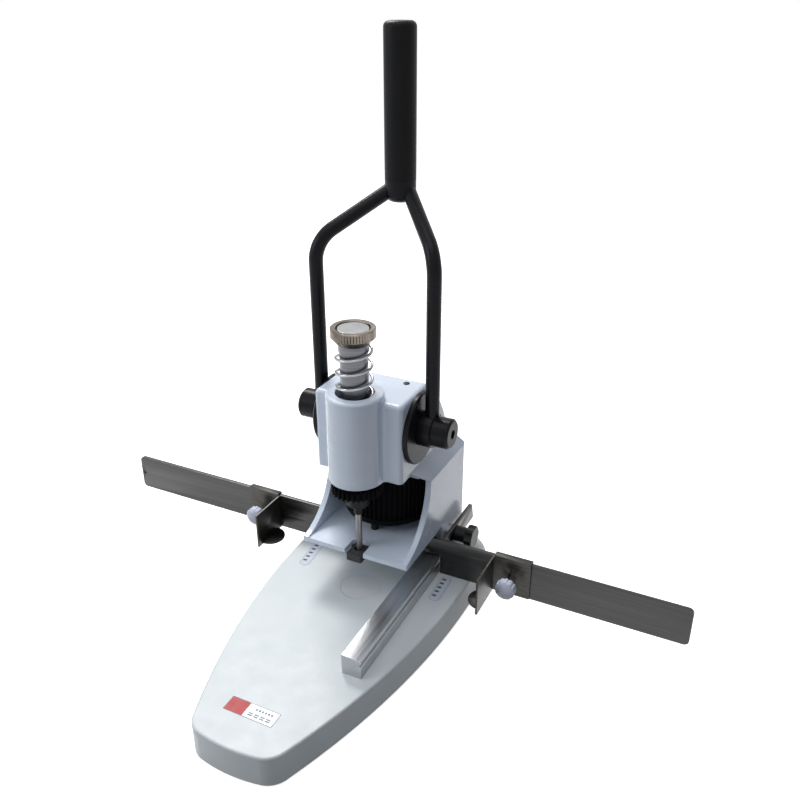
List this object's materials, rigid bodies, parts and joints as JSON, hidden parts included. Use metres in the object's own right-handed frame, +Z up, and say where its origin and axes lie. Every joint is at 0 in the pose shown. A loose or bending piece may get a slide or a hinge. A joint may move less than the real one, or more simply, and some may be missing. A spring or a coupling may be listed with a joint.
{
  "type": "paper drill",
  "caption": "Hand paper drill: a forked lever feeds a rack quill down and gears spin its hollow bit, over a long rounded base with a cross ruler, sliding stops and a side fence.",
  "frame": {"origin": "on the drill's axis, at the work surface that the sheets lie on", "axes": "+X along the ruler to the operator's right, +Y to the back, +Z up along the drill"},
  "size_m": [0.509, 0.2915, 0.4397],
  "materials": {
    "base_paint": "pale grey enamel, satin",
    "housing_paint": "white enamel, gloss",
    "black_paint": "black enamel, satin",
    "grip_black": "black sleeve, satin",
    "rubber": "matte black rubber",
    "mat_plastic": "ivory plastic, matte",
    "screw_steel": "turned steel",
    "screw_black": "black oxide steel",
    "bronze": "sintered bronze, dull",
    "shaft_steel": "ground steel",
    "quill_steel": "ground steel, grey",
    "gear_steel": "cut steel",
    "gear_black": "black gear plastic",
    "chuck_black": "black oxide steel",
    "bit_steel": "hardened steel, warm grey",
    "cap_nickel": "knurled nickel plate, warm",
    "polished_steel": "polished",
    "spring_steel": "bright spring wire",
    "ruler_steel": "brushed stainless steel",
    "fence_aluminium": "milled bar, bright",
    "thumb_plastic": "pale plastic",
    "knob_black": "black plastic"
  },
  "bodies": {
    "frame": {"base_plate": "base_paint", "rubber_feet": "rubber", "cutting_mat": "mat_plastic", "housing_bolts": "screw_steel", "fence_screws": "screw_steel", "housing": "housing_paint", "shaft_bushes": "bronze", "jack_bushes": "bronze", "quill_bush": "bronze", "spring_seat": "bronze", "side_cover_left": "black_paint", "side_cover_right": "black_paint", "depth_stud_left": "screw_steel", "depth_stud_right": "screw_steel", "drill_guide": "rubber", "guide_screw": "screw_black", "fence": "fence_aluminium", "return_spring": "spring_steel"},
    "lever": {"lever_yoke": "black_paint", "grip": "grip_black", "hub_cap_left": "black_paint", "hub_cap_right": "black_paint", "cross_shaft": "shaft_steel", "rack_pinion": "gear_steel"},
    "lay": {"lay_shaft": "shaft_steel", "lay_mitre": "gear_steel"},
    "jack": {"jack_shaft": "shaft_steel", "jack_mitre": "gear_steel", "drive_gear": "gear_black"},
    "quill_group": {"quill": "quill_steel", "spindle_bushes": "bronze", "top_cap": "cap_nickel"},
    "spindle_group": {"spindle": "shaft_steel", "spindle_pinion": "gear_black", "drill_chuck": "chuck_black", "drill_bit": "bit_steel", "cap_disc": "polished_steel"},
    "carriage": {"ruler_bar": "ruler_steel", "depth_arm_left": "ruler_steel", "depth_arm_right": "ruler_steel"},
    "left_stop": {"stop_left": "ruler_steel"},
    "right_stop": {"stop_right": "ruler_steel"},
    "left_thumb_screw": {"thumb_shank_left": "screw_steel", "thumb_head_left": "thumb_plastic"},
    "right_thumb_screw": {"thumb_shank_right": "screw_steel", "thumb_head_right": "thumb_plastic"},
    "left_depth_knob": {"depth_knob_left": "knob_black"},
    "right_depth_knob": {"depth_knob_right": "knob_black"}
  },
  "joints": [
    {"name": "lever_pull", "type": "hinge", "parent": "frame", "child": "lever", "pos_m": [0, 0.03129, 0.13801], "axis": [1, 0, 0], "range_deg": [0, 93]},
    {"name": "quill_feed", "type": "slide", "parent": "frame", "child": "quill_group", "axis": [0, 0, -1], "range_m": [0, 0.03652], "stiffness_N_per_m": 2400, "springref_m": -0.008, "deforming": ["return_spring"]},
    {"name": "lay_spin", "type": "hinge", "parent": "frame", "child": "lay", "pos_m": [0, 0.0525, 0.1168], "axis": [1, 0, 0], "range_deg": [-279, 0]},
    {"name": "jack_spin", "type": "hinge", "parent": "frame", "child": "jack", "pos_m": [0, 0.0525, 0.07], "axis": [0, 0, 1], "range_deg": [-279, 0]},
    {"name": "spindle_spin", "type": "hinge", "parent": "quill_group", "child": "spindle_group", "pos_m": [0, 0, 0.1], "axis": [0, 0, 1], "range_deg": [0, 502.2]},
    {"name": "ruler_depth", "type": "slide", "parent": "frame", "child": "carriage", "axis": [0, 1, 0], "range_m": [0, 0.0105]},
    {"name": "left_stop_slide", "type": "slide", "parent": "carriage", "child": "left_stop", "axis": [-1, 0, 0], "range_m": [-0.03, 0.11]},
    {"name": "right_stop_slide", "type": "slide", "parent": "carriage", "child": "right_stop", "axis": [1, 0, 0], "range_m": [-0.023, 0.11]},
    {"name": "left_thumb_turn", "type": "hinge", "parent": "left_stop", "child": "left_thumb_screw", "pos_m": [-0.1193, 0.03, 0.016], "axis": [0, -1, 0], "continuous": true},
    {"name": "right_thumb_turn", "type": "hinge", "parent": "right_stop", "child": "right_thumb_screw", "pos_m": [0.112, 0.03, 0.016], "axis": [0, -1, 0], "continuous": true},
    {"name": "left_knob_turn", "type": "hinge", "parent": "frame", "child": "left_depth_knob", "pos_m": [-0.06, 0.069, 0.0248], "axis": [-1, 0, 0], "continuous": true},
    {"name": "right_knob_turn", "type": "hinge", "parent": "frame", "child": "right_depth_knob", "pos_m": [0.06, 0.069, 0.0248], "axis": [1, 0, 0], "continuous": true}
  ],
  "couplings": [
    {"joint": "quill_feed", "follows": "lever_pull", "m_per_rad": 0.0225},
    {"joint": "lay_spin", "follows": "lever_pull", "ratio": -3},
    {"joint": "jack_spin", "follows": "lever_pull", "ratio": -3},
    {"joint": "spindle_spin", "follows": "lever_pull", "ratio": 5.4}
  ]
}
